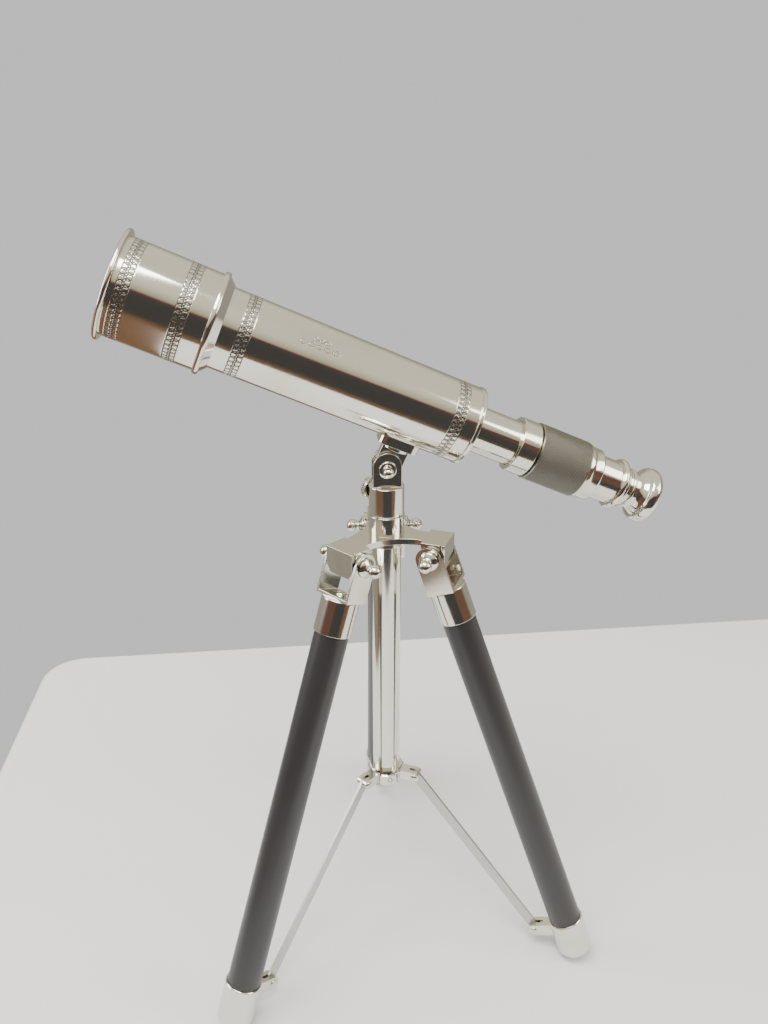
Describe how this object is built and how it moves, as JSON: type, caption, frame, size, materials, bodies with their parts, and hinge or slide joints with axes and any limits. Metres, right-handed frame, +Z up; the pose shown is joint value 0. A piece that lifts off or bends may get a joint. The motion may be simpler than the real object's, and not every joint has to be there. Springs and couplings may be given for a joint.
{
  "type": "telescope on tripod",
  "caption": "Table telescope of polished nickel on a folding three-legged stand with black wooden legs, a sliding column and flat stays; it pans, tilts, draws out and focuses.",
  "frame": {"origin": "on the table top, centred under the column", "axes": "+Z up along the column; the telescope lies over the X axis with its objective towards -X and its eyepiece towards +X; the tilt axis is parallel to Y"},
  "size_m": [0.2939, 0.2235, 0.4286],
  "materials": {
    "nickel": "polished nickel plate on brass",
    "knurled_nickel": "fine diamond knurl, nickel plated",
    "brushed_nickel": "brushed flat strip",
    "blackened_brass": "matt black inside the tubes",
    "black_wood": "ebonised wood, satin lacquer",
    "lens_glass": "clear polished glass"
  },
  "bodies": {
    "hub": {"hub_spider": "nickel", "hub_sleeve": "nickel", "pivot_bolts": "nickel", "pivot_nuts": "nickel", "pivot_washers": "nickel"},
    "column": {"center_post": "nickel", "bottom_bracket": "nickel", "bracket_rivets": "nickel", "bracket_screw": "nickel"},
    "head": {"head_cap": "nickel", "head_fork": "nickel", "tilt_screw": "nickel", "tilt_nut": "nickel"},
    "lock_screw": {"pan_lock_screw": "nickel"},
    "telescope": {"shade_rim": "nickel", "shade_tube": "nickel", "shade_ring": "nickel", "objective_cell": "blackened_brass", "objective_lens": "lens_glass", "lens_retainer": "blackened_brass", "main_barrel": "nickel", "barrel_end_ring": "nickel", "saddle_pad": "nickel", "tilt_tongue": "nickel"},
    "draw": {"draw_tube": "nickel", "draw_stop_ring": "blackened_brass", "erector_cell": "blackened_brass", "erector_lenses": "lens_glass", "focus_collar": "nickel"},
    "focus": {"focus_sleeve": "knurled_nickel"},
    "eyepiece": {"eyepiece_tube": "nickel", "eyepiece_flange": "nickel", "eye_cup": "nickel", "eye_lens": "lens_glass", "field_lens": "lens_glass"},
    "leg_rear": {"leg_yoke_rear": "nickel", "yoke_screw_rear": "nickel", "leg_ferrule_rear": "nickel", "leg_rod_rear": "black_wood", "foot_cup_rear": "nickel", "foot_tip_rear": "nickel", "foot_rivets_rear": "nickel"},
    "stay_rear": {"link_rear": "brushed_nickel"},
    "leg_right": {"leg_yoke_right": "nickel", "yoke_screw_right": "nickel", "leg_ferrule_right": "nickel", "leg_rod_right": "black_wood", "foot_cup_right": "nickel", "foot_tip_right": "nickel", "foot_rivets_right": "nickel"},
    "stay_right": {"link_right": "brushed_nickel"},
    "leg_left": {"leg_yoke_left": "nickel", "yoke_screw_left": "nickel", "leg_ferrule_left": "nickel", "leg_rod_left": "black_wood", "foot_cup_left": "nickel", "foot_tip_left": "nickel", "foot_rivets_left": "nickel"},
    "stay_left": {"link_left": "brushed_nickel"}
  },
  "joints": [
    {"name": "leg_rear_fold", "type": "hinge", "parent": "hub", "child": "leg_rear", "pos_m": [0.00195, 0.02793, 0.261], "axis": [-0.9976, 0.0698, 0], "range_deg": [0, 14]},
    {"name": "leg_right_fold", "type": "hinge", "parent": "hub", "child": "leg_right", "pos_m": [0.02517, -0.01227, 0.261], "axis": [0.4384, 0.8988, 0], "range_deg": [0, 14]},
    {"name": "leg_left_fold", "type": "hinge", "parent": "hub", "child": "leg_left", "pos_m": [-0.02145, -0.018, 0.261], "axis": [0.6428, -0.766, 0], "range_deg": [0, 14]},
    {"name": "column_slide", "type": "slide", "parent": "hub", "child": "column", "axis": [0, 0, 1], "range_m": [0, 0.01792]},
    {"name": "stay_rear_hinge", "type": "hinge", "parent": "column", "child": "stay_rear", "pos_m": [0.00133, 0.01895, 0.109], "axis": [-0.9976, 0.0698, 0], "range_deg": [0, 31.63]},
    {"name": "stay_right_hinge", "type": "hinge", "parent": "column", "child": "stay_right", "pos_m": [0.01708, -0.00833, 0.109], "axis": [0.4384, 0.8988, 0], "range_deg": [0, 31.63]},
    {"name": "stay_left_hinge", "type": "hinge", "parent": "column", "child": "stay_left", "pos_m": [-0.01456, -0.01221, 0.109], "axis": [0.6428, -0.766, 0], "range_deg": [0, 31.63]},
    {"name": "pan", "type": "hinge", "parent": "column", "child": "head", "pos_m": [0, 0, 0.2807], "axis": [0, 0, 1], "continuous": true},
    {"name": "pan_lock_turn", "type": "hinge", "parent": "head", "child": "lock_screw", "pos_m": [-0.00968, 0.00709, 0.29269], "axis": [-0.807, 0.5906, 0], "range_deg": [0, 360]},
    {"name": "tilt", "type": "hinge", "parent": "head", "child": "telescope", "pos_m": [0, 0, 0.307], "axis": [0, 1, 0], "range_deg": [-35, 35]},
    {"name": "draw_slide", "type": "slide", "parent": "telescope", "child": "draw", "axis": [0.9178, 0, -0.3971], "range_m": [-0.0251, 0.05]},
    {"name": "focus_turn", "type": "hinge", "parent": "draw", "child": "focus", "pos_m": [0.07753, 0, 0.31344], "axis": [0.9178, 0, -0.3971], "range_deg": [-150, 150]},
    {"name": "eyepiece_slide", "type": "slide", "parent": "draw", "child": "eyepiece", "axis": [0.9178, 0, -0.3971], "range_m": [-0.00301, 0.00301]}
  ],
  "couplings": [
    {"joint": "leg_right_fold", "follows": "leg_rear_fold", "ratio": 1},
    {"joint": "leg_left_fold", "follows": "leg_rear_fold", "ratio": 1},
    {"joint": "column_slide", "follows": "leg_rear_fold", "m_per_rad": 0.073246},
    {"joint": "stay_rear_hinge", "follows": "leg_rear_fold", "ratio": 2.2556},
    {"joint": "stay_right_hinge", "follows": "leg_rear_fold", "ratio": 2.2556},
    {"joint": "stay_left_hinge", "follows": "leg_rear_fold", "ratio": 2.2556},
    {"joint": "eyepiece_slide", "follows": "focus_turn", "m_per_rad": 0.0011459}
  ]
}
